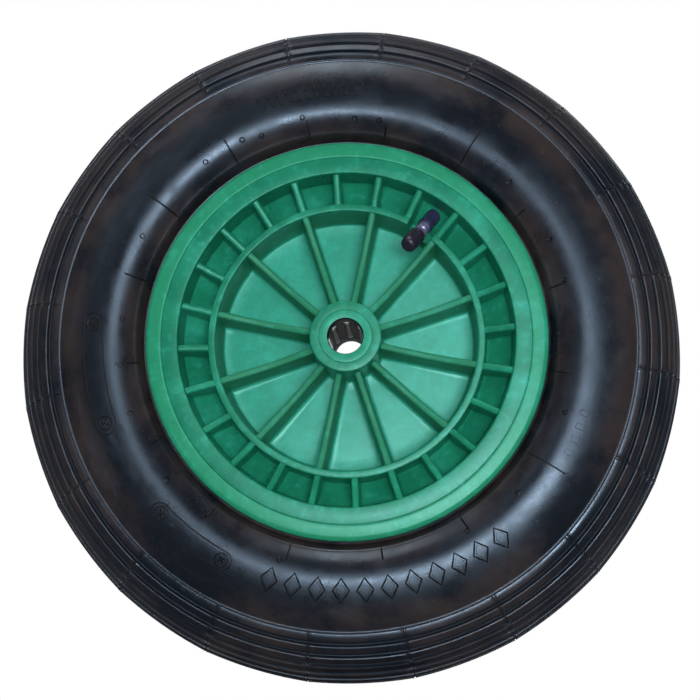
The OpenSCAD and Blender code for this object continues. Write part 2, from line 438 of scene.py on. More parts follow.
@dataclass(frozen=True)
class TyreRubber(Finish):
    """Moulded tyre rubber: blue-black, with brownish patches outside the bulge and near the bead painted on
    as a reflection of light from above, smears of dust, a painted highlight along the shoulder ridge, painted
    shade in the grooves and fine grain.

    Radii, reaches from the tread arc's centre and the width of an edge are in metres. The plain factors in
    surface are the share of each mark in the colour, the roughness or the relief.
    """

    # Brownish colour painted on as a reflection of light from above, in cloudy patches outside the bulge and
    # near the bead.
    bloom: Colour = (0.034, 0.023, 0.021)
    # Pale colour of the dust smears, specks and scratches, and of the painted highlight line along the
    # shoulder ridge.
    dust: Colour = (0.07, 0.08, 0.10)
    # Near-black painted into the tread grooves: painted shade.
    groove_shade: Colour = (0.0015, 0.0018, 0.0035)
    bulge_bloom: Band = (0.147, 0.160)
    bead_bloom: Band = (0.122, 0.136)
    tread: Band = (0.1685, 0.1725)
    tread_c: float = 0.15483
    groove_shade_reach: Band = (0.0434, 0.0443)
    shoulder: Band = (0.1663, 0.1682)
    bloom_band: Band = (0.38, 0.62)
    dust_band: Band = (0.56, 0.8)
    edge: float = 0.0004
    relief_m: float = 0.00030
    smear_stretch: Point2 = (3.0, 60.0)
    scratch_stretch: Stretch = (1.0, 1.0, 14.0)
    scratch_turn: float = 0.9
    grain: Grain = Grain(1100.0, 2.0)
    cloud: Grain = Grain(15.0, 6.0, 0.66)
    blotch: Grain = Grain(52.0, 4.0, 0.6)
    fine: Grain = Grain(160.0, 5.0, 0.7)
    speck: Grain = Grain(520.0, 1.0, 0.5, (0.74, 0.80))
    smear: Grain = Grain(1.3, 6.0, 0.65, (0.5, 0.8))
    scratch: Grain = Grain(95.0, 4.0, 0.7, (0.69, 0.76))

    def surface(self, book: Book, place: Any) -> tuple[Any, Wire, Wire]:
        """See Finish."""
        radius, smear_place = round_axle(book, place, *self.smear_stretch)
        along = book.along_axle(place)
        reach = ((radius - self.tread_c) * (radius - self.tread_c) + along * along).root()
        tread = radius.step(*self.tread)
        # Painted shade in the tread grooves.
        groove_shade = tread * (1.0 - reach.step(*self.groove_shade_reach))
        # A thin band on the shoulder ridge, which gets a painted highlight line.
        low, high = self.shoulder
        shoulder = radius.step(low, low + self.edge) * (1.0 - radius.step(high - self.edge, high))
        cloud = book.noise(place, self.cloud)
        blotch = book.noise(place, self.blotch)
        fine = book.noise(place, self.fine)
        scratch_place = book.mapped(place, self.scratch_stretch, self.scratch_turn)
        # Painted reflection: brownish cloudy patches outside the bulge and near the bead.
        near_bead = 1.0 - radius.step(*self.bead_bloom)
        bloom = (radius.step(*self.bulge_bloom) + near_bead) * cloud.step(*self.bloom_band)
        dust_and_glint_share = book.noise(smear_place, self.smear) * 0.24 + fine.step(*self.dust_band) * 0.10
        dust_and_glint_share = dust_and_glint_share + book.noise(place, self.speck) * 0.4 + book.noise(scratch_place, self.scratch) * 0.26
        # Less dust on the tread, and a painted highlight line along the shoulder ridge.
        dust_and_glint_share = dust_and_glint_share * (1.0 - 0.7 * tread) + 0.3 * shoulder
        colour = book.mix(dust_and_glint_share, book.mix(bloom, self.colour, self.bloom), self.dust)
        roughness = self.roughness + 0.42 * (cloud - MEAN) + 0.34 * (blotch - MEAN) + 0.14 * (fine - MEAN)
        roughness = roughness + 0.10 * tread + 0.35 * dust_and_glint_share + 0.25 * groove_shade
        relief = 0.12 * book.noise(place, self.grain) + 0.12 * fine + 0.5 * blotch
        # The grooves take their painted shade last.
        return book.mix(groove_shade, colour, self.groove_shade), roughness, relief * (1.0 - 0.8 * tread)


@dataclass(frozen=True)
class GroundSteel(Finish):
    """Ground steel with fine marks round the roller: near-black along its middle, with near-white ends
    painted on as a highlight.
    """

    grease: Colour = (0.010, 0.009, 0.016)
    # Distance along the axle, in metres, where the roller ends take their painted highlight.
    painted_glint: Band = (0.0215, 0.0230)
    shade: float = 0.82
    relief_m: float = 0.00001
    stretch: Stretch = (1.0, 14.0, 1.0)
    marks: Grain = Grain(420.0, 4.0, 0.6)

    def surface(self, book: Book, place: Any) -> tuple[Any, Wire, Wire]:
        """See Finish."""
        marks = book.noise(book.mapped(place, self.stretch), self.marks)
        along = book.along_axle(place)
        # Painted highlight: the roller ends take the near-white steel colour.
        painted_glint = (along * along).root().step(*self.painted_glint)
        colour = book.mix(painted_glint, self.grease, book.mix(marks, self.dark(), self.colour))
        return colour, self.roughness + self.uneven * (marks - MEAN), marks


@dataclass(frozen=True)
class FloorPaper(Finish):
    """Seamless white paper: evenly lit where it is seen, and too dim to light the wheel from below."""

    shade: float = 0.97
    fibre: Grain = Grain(300.0, 3.0)

    def shader(self, book: Book, place: Any) -> bpy.types.Node:
        """See Finish."""
        paper = book.mix(book.noise(place, self.fibre), self.dark(), self.colour)
        matt = book.node("ShaderNodeBsdfDiffuse", {}, {"Color": paper})
        lit = book.node("ShaderNodeEmission", {}, {"Color": WHITE, "Strength": 1.0})
        seen = book.node("ShaderNodeLightPath").outputs["Is Camera Ray"]
        return book.node("ShaderNodeMixShader", {}, {0: seen, 1: matt.outputs[0], 2: lit.outputs[0]})


GREEN_GLOSS: Colour = (0.5, 1.0, 0.9)
BLUE_GLOSS: Colour = (0.66, 0.82, 1.0)
RIM_GREEN = RimPlastic("rim_green_plastic", (0.012, 0.245, 0.130), 0.30, specular=0.32, tint=GREEN_GLOSS)
CAP_GREEN = RimPlastic("end_cap_plastic", (0.016, 0.330, 0.185), 0.32, specular=0.32, tint=GREEN_GLOSS)
TYRE_BLACK = TyreRubber("tyre_rubber_black", (0.0050, 0.0058, 0.0095), roughness=0.31, tint=BLUE_GLOSS)
# Colour of the raised sidewall marks, darker than the rubber round them.
MARK_BLACK = Finish("tyre_mark_black", (0.0012, 0.0013, 0.0022), roughness=0.5, specular=0.35)
TUBE_BLACK = Finish("tube_rubber", (0.012, 0.015, 0.034), roughness=0.42)
STEM_RUBBER = Finish("stem_rubber", (0.034, 0.030, 0.085), roughness=0.36)
CAP_BLACK = Finish("dust_cap_plastic", (0.019, 0.012, 0.030), roughness=0.38)
CAGE_BLACK = Finish("cage_nylon", (0.005, 0.003, 0.010), roughness=0.28, specular=0.06)
# Near-white steel with little metal: its colour gives the roller ends a painted highlight.
STEEL = GroundSteel("roller_steel", (0.95, 0.96, 0.98), roughness=0.2, metallic=0.1)
VALVE_METAL = Finish("valve_metal", (0.26, 0.26, 0.40), roughness=0.32, metallic=0.6)
CORE_BRASS = Finish("core_brass", (0.66, 0.5, 0.24), roughness=0.32, metallic=1.0)
FLOOR_WHITE = FloorPaper("floor_paper", (0.30, 0.30, 0.30))


# --- Mesh tools ---


def to_row(points: np.ndarray) -> np.ndarray:
    """Face frame in millimetres (right, up, towards the valve side) to the row frame in metres."""
    return np.stack([points[..., 0], -points[..., 2], points[..., 1]], axis=-1) * MM


def polar(reach: Any, angle: Any, height: Any) -> np.ndarray:
    """Face-frame points at distances and angles in radians round an axis, and heights along it."""
    return np.stack(np.broadcast_arrays(reach * np.cos(angle), reach * np.sin(angle), height), axis=-1)


def link(name: str, data: bpy.types.ID) -> bpy.types.Object:
    """Puts a new object with its data into the scene."""
    item = bpy.data.objects.new(name, data)
    bpy.context.scene.collection.objects.link(item)
    return item


def add_piece(name: str, points: Any, faces: Iterable[Sequence[int]], finish: Finish) -> bpy.types.Object:
    """Makes a smooth closed piece whose faces point outwards.

    Args:
        name: The piece's name.
        points: Its vertices in the row frame, in metres.
        faces: Vertex indices of each face.
        finish: Its material.

    Returns:
        The new object, at the origin.
    """
    mesh = bpy.data.meshes.new(name)
    mesh.from_pydata(np.asarray(points).reshape(-1, 3).tolist(), [], [list(face) for face in faces])
    shape = bmesh.new()
    shape.from_mesh(mesh)
    bmesh.ops.remove_doubles(shape, verts=shape.verts, dist=WELD_M)
    bmesh.ops.recalc_face_normals(shape, faces=shape.faces)
    if shape.calc_volume(signed=True) < 0:
        bmesh.ops.reverse_faces(shape, faces=shape.faces)
    shape.to_mesh(mesh)
    shape.free()
    finish_mesh(mesh)
    mesh.materials.append(finish.material())
    return link(name, mesh)


def finish_mesh(mesh: bpy.types.Mesh) -> None:
    """Smooth shading, with sharp edges where faces meet at a real corner."""
    mesh.shade_smooth()
    mesh.set_sharp_from_angle(angle=SMOOTH_ANGLE)
    mesh.update()


def grid_faces(rows: int, columns: int, wrap_rows: bool = True) -> list[tuple[int, ...]]:
    """Quads of a grid whose columns wrap round, and whose rows may.

    Args:
        rows: Number of rows.
        columns: Number of columns.
        wrap_rows: Whether the last row joins the first.

    Returns:
        The faces.
    """
    last = rows if wrap_rows else rows - 1
    return [
        (
            i * columns + j,
            i * columns + (j + 1) % columns,
            (i + 1) % rows * columns + (j + 1) % columns,
            (i + 1) % rows * columns + j,
        )
        for i in range(last)
        for j in range(columns)
    ]


def rounded(corners: Sequence[Corner], steps: int = 3, longest: float = 7.0) -> list[Point2]:
    """An open outline with rounded corners and divided long stretches.

    Args:
        corners: (radius, height, rounding) of each corner.
        steps: Segments of each rounding.
        longest: Longest undivided stretch in millimetres.

    Returns:
        The outline's points.
    """
    path: list[Point2] = []
    count = len(corners)
    for index, (x, y, rounding) in enumerate(corners):
        here = np.array([x, y])
        if rounding <= 0 or index in (0, count - 1):
            path.append((x, y))
            continue
        before = np.array(corners[index - 1][:2]) - here
        after = np.array(corners[index + 1][:2]) - here
        unit_a = before / np.linalg.norm(before)
        unit_b = after / np.linalg.norm(after)
        half = math.acos(float(np.clip(unit_a @ unit_b, -1, 1))) / 2
        shorter = min(np.linalg.norm(before), np.linalg.norm(after))
        reach = min(rounding / math.tan(half), MOST_ROUNDED * shorter)
        start, end = here + unit_a * reach, here + unit_b * reach
        for step in range(steps + 1):
            t = step / steps
            curve = (1 - t) ** 2 * start + 2 * t * (1 - t) * here + t**2 * end
            path.append((float(curve[0]), float(curve[1])))
    divided = [path[0]]
    for first, second in zip(path, path[1:]):
        pieces = max(1, math.ceil(math.dist(first, second) / longest))
        divided += [
            (first[0] + (second[0] - first[0]) * k / pieces, first[1] + (second[1] - first[1]) * k / pieces)
            for k in range(1, pieces + 1)
        ]
    return divided


def turned(
    name: str,
    outline: Sequence[Point2],
    finish: Finish,
    place: Callable[[np.ndarray], np.ndarray],
    columns: int = 64,
) -> bpy.types.Object:
    """A closed turned piece from a closed outline of (radius, height) points.

    Args:
        name: The piece's name.
        outline: The outline in order; it closes on its first point. A radius of 0 makes a pole.
        finish: Its material.
        place: Takes local points (right, up, along the axis) to the row frame.
        columns: Number of columns round the axis.

    Returns:
        The new object.
    """
    angles = np.arange(columns) * FULL_TURN / columns
    rows = np.array(outline)
    points = polar(rows[:, :1], angles, rows[:, 1:])
    return add_piece(name, place(points), grid_faces(len(rows), columns), finish)


# --- Geometry Nodes ---


@dataclass
class Recipe:
    """A Geometry Nodes tree with named inputs, applied to a piece and then removed."""

    name: str
    inputs: dict[str, str]

    def start(self) -> tuple[Book, bpy.types.Node]:
        """Makes the tree and its interface.

        Returns:
            The book that adds nodes, and the group input node.
        """
        tree = bpy.data.node_groups.new(self.name, "GeometryNodeTree")
        tree.interface.new_socket("Geometry", in_out="INPUT", socket_type="NodeSocketGeometry")
        for label, kind in self.inputs.items():
            tree.interface.new_socket(label, in_out="INPUT", socket_type="NodeSocket" + kind)
        tree.interface.new_socket("Geometry", in_out="OUTPUT", socket_type="NodeSocketGeometry")
        book = Book(tree)
        return book, book.node("NodeGroupInput")

    @staticmethod
    def end(book: Book, geometry: Any, material: Any) -> None:
        """Realizes the instances, sets the material and ends the tree.

        Args:
            book: Adds nodes.
            geometry: The socket with the result.
            material: The socket with the material.
        """
        real = book.node("GeometryNodeRealizeInstances", {}, {"Geometry": geometry})
        sockets = {"Geometry": real.outputs[0], "Material": material}
        dressed = book.node("GeometryNodeSetMaterial", {}, sockets)
        book.node("NodeGroupOutput", {}, {0: dressed.outputs[0]})

    def bake(self, piece: bpy.types.Object, tree: bpy.types.NodeTree, values: dict[str, Any]) -> None:
        """Runs the tree on a piece and keeps the result as its plain mesh.

        Args:
            piece: The piece with the tree's base geometry.
            tree: The tree.
            values: Input values by name.
        """
        modifier = piece.modifiers.new(self.name, "NODES")
        modifier.node_group = tree
        for item in tree.interface.items_tree:
            if item.item_type == "SOCKET" and item.in_out == "INPUT" and item.name in values:
                modifier[item.identifier] = values[item.name]
        graph = bpy.context.evaluated_depsgraph_get()
        plain = bpy.data.meshes.new_from_object(piece.evaluated_get(graph), depsgraph=graph)
        piece.modifiers.clear()
        old = piece.data
        piece.data = plain
        bpy.data.meshes.remove(old)
        plain.name = piece.name
        finish_mesh(plain)


@dataclass(frozen=True)
class MarkRow:
    """One row of equal raised marks round the axle.

    Sizes are millimetres. first is the angle of the first mark, step the angle between marks and wobble the
    greatest shift of a mark, in degrees counter-clockwise from the valve side. taper widens a mark's middle.
    """

    name: str
    radius: float
    length: float
    half_width: float
    height: float
    count: int
    first: float
    step: float
    finish: Finish
    seed: int = 1
    wobble: float = 0.0
    taper: float = 0.0


class AxleRing:
    """Repeats a small solid round the axle, by count and angle, with a seeded wobble of its place."""

    recipe = Recipe(
        "ring_about_axle",
        {
            "Count": "Int",
            "First Angle": "Float",
            "Step": "Float",
            "Wobble": "Float",
            "Seed": "Int",
            "Material": "Material",
        },
    )
    _tree: bpy.types.NodeTree | None = None

    @classmethod
    def tree(cls) -> bpy.types.NodeTree:
        """Builds the tree once.

        Returns:
            The tree, which turns each copy about Y.
        """
        if cls._tree:
            return cls._tree
        book, given = cls.recipe.start()
        sockets = {"Count": given.outputs["Count"], "Offset": (0, 0, 0)}
        line = book.node("GeometryNodeMeshLine", {"mode": "OFFSET"}, sockets)
        index = book.wire(book.node("GeometryNodeInputIndex"))
        wobble = book.wire(given, "Wobble")
        sockets = {2: wobble * -1.0, 3: wobble, "Seed": given.outputs["Seed"]}
        shake = book.node("FunctionNodeRandomValue", {"data_type": "FLOAT"}, sockets)
        angle = book.wire(given, "First Angle") + index * book.wire(given, "Step") + book.wire(shake, 1)
        turn = book.node("ShaderNodeCombineXYZ", {}, {"Y": angle * -1.0})
        one = given.outputs["Geometry"]
        sockets = {"Points": line.outputs[0], "Instance": one, "Rotation": turn.outputs[0]}
        copies = book.node("GeometryNodeInstanceOnPoints", {}, sockets)
        cls.recipe.end(book, copies.outputs[0], given.outputs["Material"])
        cls._tree = book.tree
        return cls._tree

    @classmethod
    def repeat(cls, piece: bpy.types.Object, row: MarkRow) -> None:
        """Repeats a piece round the axle.

        Args:
            piece: The piece, modelled at angle 0.
            row: The row's count, angles, wobble, seed and finish.
        """
        values = {
            "Count": row.count,
            "First Angle": math.radians(row.first),
            "Step": math.radians(row.step),
            "Wobble": math.radians(row.wobble),
            "Seed": row.seed,
            "Material": row.finish.material(),
        }
        cls.recipe.bake(piece, cls.tree(), values)


# --- Rim ---


@dataclass
class Rim:
    """One-piece moulded rim: hub, web, spokes, ring rib, pockets, flat ring, lip, bead seats and well."""

    cap_seat_r: float = 15.46
    race_r: float = 15.16
    race_h: float = 30.5
    hub_r: float = 20.7
    hub_h: float = 43.0
    hub_foot_r: float = 21.5
    web_h: float = 3.0
    ring_in_r: float = 77.2
    ring_out_r: float = 81.3
    ring_h: float = 33.0
    pocket_foot_r: float = 84.0
    pocket_foot_h: float = 12.0
    floor_slope: float = 0.786
    barrel_r: float = 98.0
    face_h: float = 41.0
    crease_r: float = 107.6
    flange_r: float = 117.3
    flange_t: float = 5.0
    seat_r: float = 101.6
    well_r: float = 87.0
    well_h: float = 9.2
    well_top_h: float = 21.2
    spoke_count: int = 12
    spoke_t: float = 4.0
    spoke_start: float = 18.4
    spoke_dip: float = 5.0
    spoke_top: float = 32.2
    rib_lip_h: float = 38.4
    draft: float = 0.045
    edge: float = 1.35
    root: float = 1.6
    notch_h: float = 17.0
    notch_sector: int = 2
    floor_columns: int = 3
    rib_gap: float = 0.7
    seam: float = 0.2
    finish: Finish = RIM_GREEN

    def face_outline(self) -> list[Point2]:
        """One face from the cap's seat out to the lip's edge."""
        floor_out_r = self.barrel_r - 0.7
        floor_out_h = self.pocket_foot_h + self.floor_slope * (floor_out_r - self.pocket_foot_r)
        lip = self.crease_r + 1.4
        return rounded(
            [
                (self.cap_seat_r, self.hub_h - 0.15, 0),
                (self.cap_seat_r + 0.15, self.hub_h, 0.1),
                (self.hub_r, self.hub_h, 0.7),
                (self.hub_foot_r, self.web_h, 1.4),
                (self.ring_in_r - 1.0, self.web_h, 1.2),
                (self.ring_in_r, self.ring_h, 0.8),
                (self.ring_out_r, self.ring_h, 0.8),
                (self.pocket_foot_r - 0.4, self.pocket_foot_h, 1.6),
                (floor_out_r, floor_out_h, 1.6),
                (self.barrel_r, self.face_h, 0.9),
                (self.crease_r - 0.35, self.face_h, 0.1),
                (self.crease_r, self.face_h - 0.55, 0.1),
                (self.crease_r + 0.35, self.face_h - 0.1, 0.1),
                (lip, self.face_h, 0.3),
                (self.flange_r - 2.4, self.face_h - 0.1, 3.0),
                (self.flange_r - 0.5, self.face_h - 1.2, 1.6),
                (self.flange_r, self.face_h - 3.0, 1.2),
                (self.flange_r - 0.4, self.face_h - self.flange_t + 0.4, 0.5),
            ]
        )

    def tyre_side(self) -> list[Point2]:
        """The bead seats and the well, from the front flange to the rear one."""
        inner_h = self.face_h - self.flange_t
        front = [
            (self.flange_r - 1.4, inner_h, 0.0),
            (self.seat_r + 2.6, inner_h, 1.0),
            (self.seat_r, inner_h - 3, 1.0),
            (self.seat_r, self.well_top_h, 1.0),
            (self.well_r, self.well_h, 1.0),
        ]
        rear = [(r, -h, rounding) for r, h, rounding in reversed(front)]
        return rounded(front + rear, steps=1, longest=30)

    def bore(self) -> list[Point2]:
        """The bore from the rear face to the front one."""
        half = [(self.race_r, 10.0), (self.race_r, self.race_h), (self.cap_seat_r, self.race_h)]
        return [(r, -h) for r, h in reversed(half)] + half

    def rib_top(self, radius: np.ndarray, is_spoke: bool) -> np.ndarray:
        """Height of a rib's top edge at each radius, far below the surface where it has no rib."""
        none = np.full_like(radius, -1e3)
        share = np.clip((radius - self.hub_r) / (self.ring_in_r - self.hub_r), 0, 1)
        spoke = self.spoke_top - self.spoke_dip * np.sin(np.pi * share)
        rise = np.clip((radius - self.ring_out_r) / (self.barrel_r - self.ring_out_r), 0, 1)
        pocket = self.ring_h - 0.4 + (self.rib_lip_h - self.ring_h) * rise
        in_pocket = (radius > self.ring_in_r) & (radius < self.barrel_r + 0.05)
        top = np.where(in_pocket, pocket, none)
        if is_spoke:
            top = np.where((radius > self.hub_r - 0.6) & (radius <= self.ring_in_r), spoke, top)
        return top

    def half_rib(self, drop: np.ndarray) -> tuple[np.ndarray, np.ndarray]:
        """Section of half a rib, from its middle to the floor beside it.

        Args:
            drop: Height of the rib over the floor at each row.

        Returns:
            Distances from the rib's middle and depths below its top, each (rows, points).
        """
        scale = np.clip(drop / (self.edge + self.root), 0, 1)
        bends = np.radians([30, 60, 90])
        half_t = self.spoke_t / 2
        zeros = np.zeros_like(drop)
        across = [zeros, zeros + half_t - self.edge]
        depth = [zeros, zeros]
        for bend in bends:
            across.append(zeros + half_t - self.edge * (1 - math.sin(bend)))
            depth.append(self.edge * scale * (1 - math.cos(bend)))
        foot = half_t + self.draft * np.clip(drop - self.edge - self.root, 0, None)
        across.append(foot)
        depth.append(drop - self.root * scale)
        for bend in bends:
            across.append(foot + self.root * (1 - math.cos(bend)))
            depth.append(drop - self.root * scale * (1 - math.sin(bend)))
        return np.stack(across, 1), np.stack(depth, 1)

    def sector(self, index: int, rows: np.ndarray, is_front: np.ndarray) -> tuple[np.ndarray, np.ndarray]:
        """Columns from one rib's middle to just before the next rib's.

        Args:
            index: The rib, counted from the first spoke.
            rows: (radius, height) of the rim's outline.
            is_front: Whether each row is on the front face.

        Returns:
            Angles in radians and heights, each (rows, columns).
        """
        radius, height = rows[:, 0], rows[:, 1]
        sign = np.where(height < 0, -1.0, 1.0)
        base = np.abs(height)
        on_face = (base >= self.web_h - 1e-6) & (radius > self.race_r + 0.1)
        on_face &= radius < self.barrel_r + self.seam
        on_face &= ~((radius > self.well_r - self.seam) & (base < self.pocket_foot_h))
        floor = base
        if index == self.notch_sector:
            in_ring = (radius > self.ring_in_r - 1.2) & (radius < self.pocket_foot_r) & is_front
            floor = np.where(in_ring, np.minimum(base, self.notch_h), base)
        sides = []
        for offset in (0, 1):
            is_spoke = (index + offset) % 2 == 0
            top = np.where(on_face, np.maximum(self.rib_top(radius, is_spoke), base), base)
            across, depth = self.half_rib(top - floor)
            sides.append([np.arcsin(across / radius[:, None]), top[:, None] - depth, is_spoke])
        step = math.pi / self.spoke_count
        spare = step - sides[0][0][:, -1] - sides[1][0][:, -1] - math.radians(self.rib_gap)
        for side in sides:
            if not side[2]:
                reach = side[0][:, -1]
                side[0] = side[0] * np.clip((reach + np.minimum(spare, 0)) / reach, 0.05, 1)[:, None]
        first, second = sides[0][0], step - sides[1][0]
        shares = np.arange(1, self.floor_columns + 1) / (self.floor_columns + 1)
        between = first[:, -1:] + (second[:, -1:] - first[:, -1:]) * shares
        angles = np.concatenate([first, between, second[:, :0:-1]], 1)
        flat = np.repeat(floor[:, None], self.floor_columns, 1)
        heights = np.concatenate([sides[0][1], flat, sides[1][1][:, :0:-1]], 1)
        start = math.radians(self.spoke_start) + index * step
        return start + angles, heights * sign[:, None]

    def build(self) -> bpy.types.Object:
        """Builds the rim and hides its plain CAD solid.

        Returns:
            The rim.
        """
        face = self.face_outline()
        back = [(r, -h) for r, h in reversed(face)]
        rows = np.array(face + self.tyre_side() + back + self.bore())
        is_front = np.arange(len(rows)) < len(face)
        sectors = [self.sector(k, rows, is_front) for k in range(2 * self.spoke_count)]
        angles = np.concatenate([part[0] for part in sectors], 1)
        heights = np.concatenate([part[1] for part in sectors], 1)
        points = polar(rows[:, :1], angles, heights)
        piece = add_piece("rim_moulding", to_row(points), grid_faces(*angles.shape), self.finish)
        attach(piece, "wheel")
        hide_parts("rim_ring", "web_disc", "spokes_front", "spokes_rear", "hub_barrel")
        LOG.info("rim: %d faces", len(piece.data.polygons))
        return piece


# --- Tyre ---


@dataclass
class Tyre:
    """Ribbed tyre: section arcs, tread grooves, sipes across the ribs and fine raised mould lines."""

    outer_r: float = 200.0
    half_w: float = 50.0
    bulge_r: float = 139.5
    shoulder_r: float = 167.0
    shoulder_h: float = 43.5
    foot_r: float = 119.2
    foot_h: float = 37.4
    seat_r: float = 101.8
    heel_h: float = 35.7
    tread_grooves: int = 14
    groove_shade_depth: float = 2.4
    groove_shade_w: float = 3.4
    tread_t: float = 6.4
    wall_t: float = 4.8
    sipes: int = 20
    sipe_start: float = 11.3
    sipe_depth: float = 0.6
    flash: float = 0.24
    segment_shift: float = 0.12
    shift_reach: float = 0.36
    flat: float = 0.45
    flat_from: float = 165.0
    flat_over: float = 30.0
    tread_spread: float = 140.0
    shift_spread: float = 71.0
    cut_reach: float = 0.13
    flash_reach: float = 0.2
    groove_shade_spare: float = 0.3
    finish: Finish = TYRE_BLACK

    def __post_init__(self) -> None:
        """Works the three arcs out of the driving sizes."""
        run = self.outer_r - self.shoulder_r
        self.tread_c = (self.outer_r**2 - self.shoulder_r**2 - self.shoulder_h**2) / (2 * run)
        self.tread_arc = self.outer_r - self.tread_c
        self.upper_arc = self._side_arc(self.shoulder_r, self.shoulder_h)
        self.lower_arc = self._side_arc(self.foot_r, self.foot_h)

    def _side_arc(self, radius: float, height: float) -> float:
        """Radius of the arc that leaves the bulge along the wheel's plane and passes a point."""
        fall = self.half_w - height
        return ((radius - self.bulge_r) ** 2 + fall**2) / (2 * fall)

    def skin(self, radius: np.ndarray, inset: float = 0.0) -> np.ndarray:
        """Height of the sidewall's outside at each radius."""
        arc = np.where(radius >= self.bulge_r, self.upper_arc, self.lower_arc)
        inside = np.clip((arc - inset) ** 2 - (radius - self.bulge_r) ** 2, 0, None)
        return self.half_w - arc + np.sqrt(inside)

    def tread_half(self) -> list[Corner]:
        """Corners of half the tread, from its middle to the shoulder line."""
        corners = [(self.outer_r, 0.0, 0.0)]
        pitch = math.radians(self.tread_spread / self.tread_grooves)
        half = math.asin(self.groove_shade_w / 2 / self.tread_arc)
        for index in range(self.tread_grooves // 2):
            middle = (index + 0.5) * pitch
            for place, depth, rounding in ((-1, 0, 0.45), (-0.7, 1, 0.5), (0.7, 1, 0.5), (1, 0, 0.45)):
                angle = middle + place * half
                reach = self.tread_arc - depth * self.groove_shade_depth
                point = (self.tread_c + reach * math.cos(angle), reach * math.sin(angle))
                corners.append((*point, rounding))
            rib = middle + pitch / 2
            top = (self.tread_c + self.tread_arc * math.cos(rib), self.tread_arc * math.sin(rib), 0.0)
            corners.append(top)
        return corners

    def side_half(self) -> list[Corner]:
        """Corners of one side, from the shoulder line to the bead's toe."""
        corners = [
            (self.shoulder_r + 1.0, self.shoulder_h - 1.2, 0.0),
            (self.shoulder_r + 0.55, self.shoulder_h + 0.75, 0.7),
            (self.shoulder_r - 0.55, self.shoulder_h + 1.15, 0.7),
            (self.shoulder_r - 1.4, float(self.skin(np.array(self.shoulder_r - 1.4))), 0.0),
        ]
        for radius in np.linspace(self.shoulder_r - 4, self.foot_r + 5.5, 17):
            corners.append((float(radius), float(self.skin(radius)), 0.0))
        ridge = self.foot_r + 3.0
        ridge_h = float(self.skin(np.array(ridge)))
        corners += [
            (ridge + 0.9, float(self.skin(np.array(ridge + 0.9))), 0.0),
            (ridge + 0.3, ridge_h + 0.75, 0.4),
            (ridge - 0.5, ridge_h + 0.2, 0.4),
            (ridge - 1.0, float(self.skin(np.array(ridge - 1.0))), 0.0),
            (self.foot_r, self.foot_h, 0.6),
            (self.foot_r - 0.6, self.heel_h, 0.4),
            (self.seat_r + 1.6, self.heel_h, 1.0),
            (self.seat_r, self.heel_h - 1.6, 0.6),
            (self.seat_r, 24.0, 0.8),
            (self.seat_r + 2.2, 22.6, 0.8),
            (116.0, 27.5, 2.0),
        ]
        return corners

    def inner_half(self) -> list[Point2]:
        """Inside of one side, from the bead up to the middle of the tread."""
        path = [(float(r), float(self.skin(r, self.wall_t))) for r in np.linspace(124.5, 164.0, 8)]
        reach = self.tread_arc - self.tread_t
        angles = np.radians([68, 56, 43, 30, 15])
        path += [(self.tread_c + reach * math.cos(a), reach * math.sin(a)) for a in angles]
        return path

    def outline(self) -> np.ndarray:
        """The whole closed section: (radius, height) of each row."""
        half = rounded(self.tread_half() + self.side_half(), steps=1, longest=9) + self.inner_half()
        middle_inside = (self.outer_r - self.tread_t, 0.0)
        rear = [(r, -h) for r, h in half[:0:-1]]
        return np.array(half + [middle_inside] + rear)

    def column_angles(self) -> tuple[np.ndarray, np.ndarray]:
        """Angles of the columns and each one's distance from the nearest sipe, both in degrees."""
        half = [0.0, 0.10, 0.16, 0.36, 1.0, 2.4, 4.0, 5.6, 7.3, 9.0]
        step = 360 / self.sipes
        one = half + [step - value for value in half[-2:0:-1]]
        angles = np.concatenate([np.array(one) + step * k for k in range(self.sipes)])
        near = np.array([min(value, step - value) for value in one])
        return angles + self.sipe_start, np.tile(near, self.sipes)

    def tread_share(self, rows: np.ndarray) -> tuple[np.ndarray, np.ndarray]:
        """How much each row is a rib's top, and its angle round the tread's arc.

        Args:
            rows: (radius, height) of the outline.

        Returns:
            Weights from 0 to 1, and angles in radians.
        """
        reach = np.hypot(rows[:, 0] - self.tread_c, rows[:, 1])
        angle = np.arctan2(rows[:, 1], rows[:, 0] - self.tread_c)
        on_top = np.clip((reach - self.tread_arc + self.groove_shade_depth) / (0.6 * self.groove_shade_depth), 0, 1)
        inside = reach < self.tread_arc - self.groove_shade_depth - self.groove_shade_spare
        on_top = np.where((np.abs(angle) < math.radians(73)) & ~inside, on_top, 0)
        return on_top, angle

    def build(self) -> bpy.types.Object:
        """Builds the tyre and hides its plain CAD solid.

        Returns:
            The tyre.
        """
        rows = self.outline()
        angles, near = self.column_angles()
        section = self.tread_share(rows)[1]
        rng = np.random.default_rng(11)
        shifts = rng.uniform(-1, 1, self.sipes) * self.segment_shift / self.tread_arc
        segment = np.repeat(shifts, len(angles) // self.sipes)
        shift = (segment * np.clip(near / self.shift_reach, 0, 1))[None, :]
        reach = np.hypot(rows[:, 0] - self.tread_c, rows[:, 1])
        spread = np.abs(section) / math.radians(self.shift_spread)
        is_tread = (reach > self.tread_arc - self.groove_shade_depth - self.groove_shade_spare) & (spread < 1)
        fade = np.where(is_tread, np.clip(1 - spread**6, 0, 1), 0)[:, None]
        turned_by = section[:, None] + shift * fade
        reach, is_tread = reach[:, None], is_tread[:, None]
        radius = np.where(is_tread, self.tread_c + reach * np.cos(turned_by), rows[:, :1])
        height = np.where(is_tread, reach * np.sin(turned_by), rows[:, 1:])
        middle = (near / (180 / self.sipes))[None, :]
        crown = np.clip((rows[:, :1] - self.flat_from) / self.flat_over, 0, 1)
        radius = radius - crown * self.flat * (1 - (1 - middle) ** 2)
        points = to_row(polar(radius, np.radians(angles), height))
        piece = add_piece("tyre_moulding", points, grid_faces(len(rows), len(angles)), self.finish)
        self.cut_sipes(piece)
        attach(piece, "wheel")
        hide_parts("tyre")
        LOG.info("tyre: %d faces", len(piece.data.polygons))
        return piece

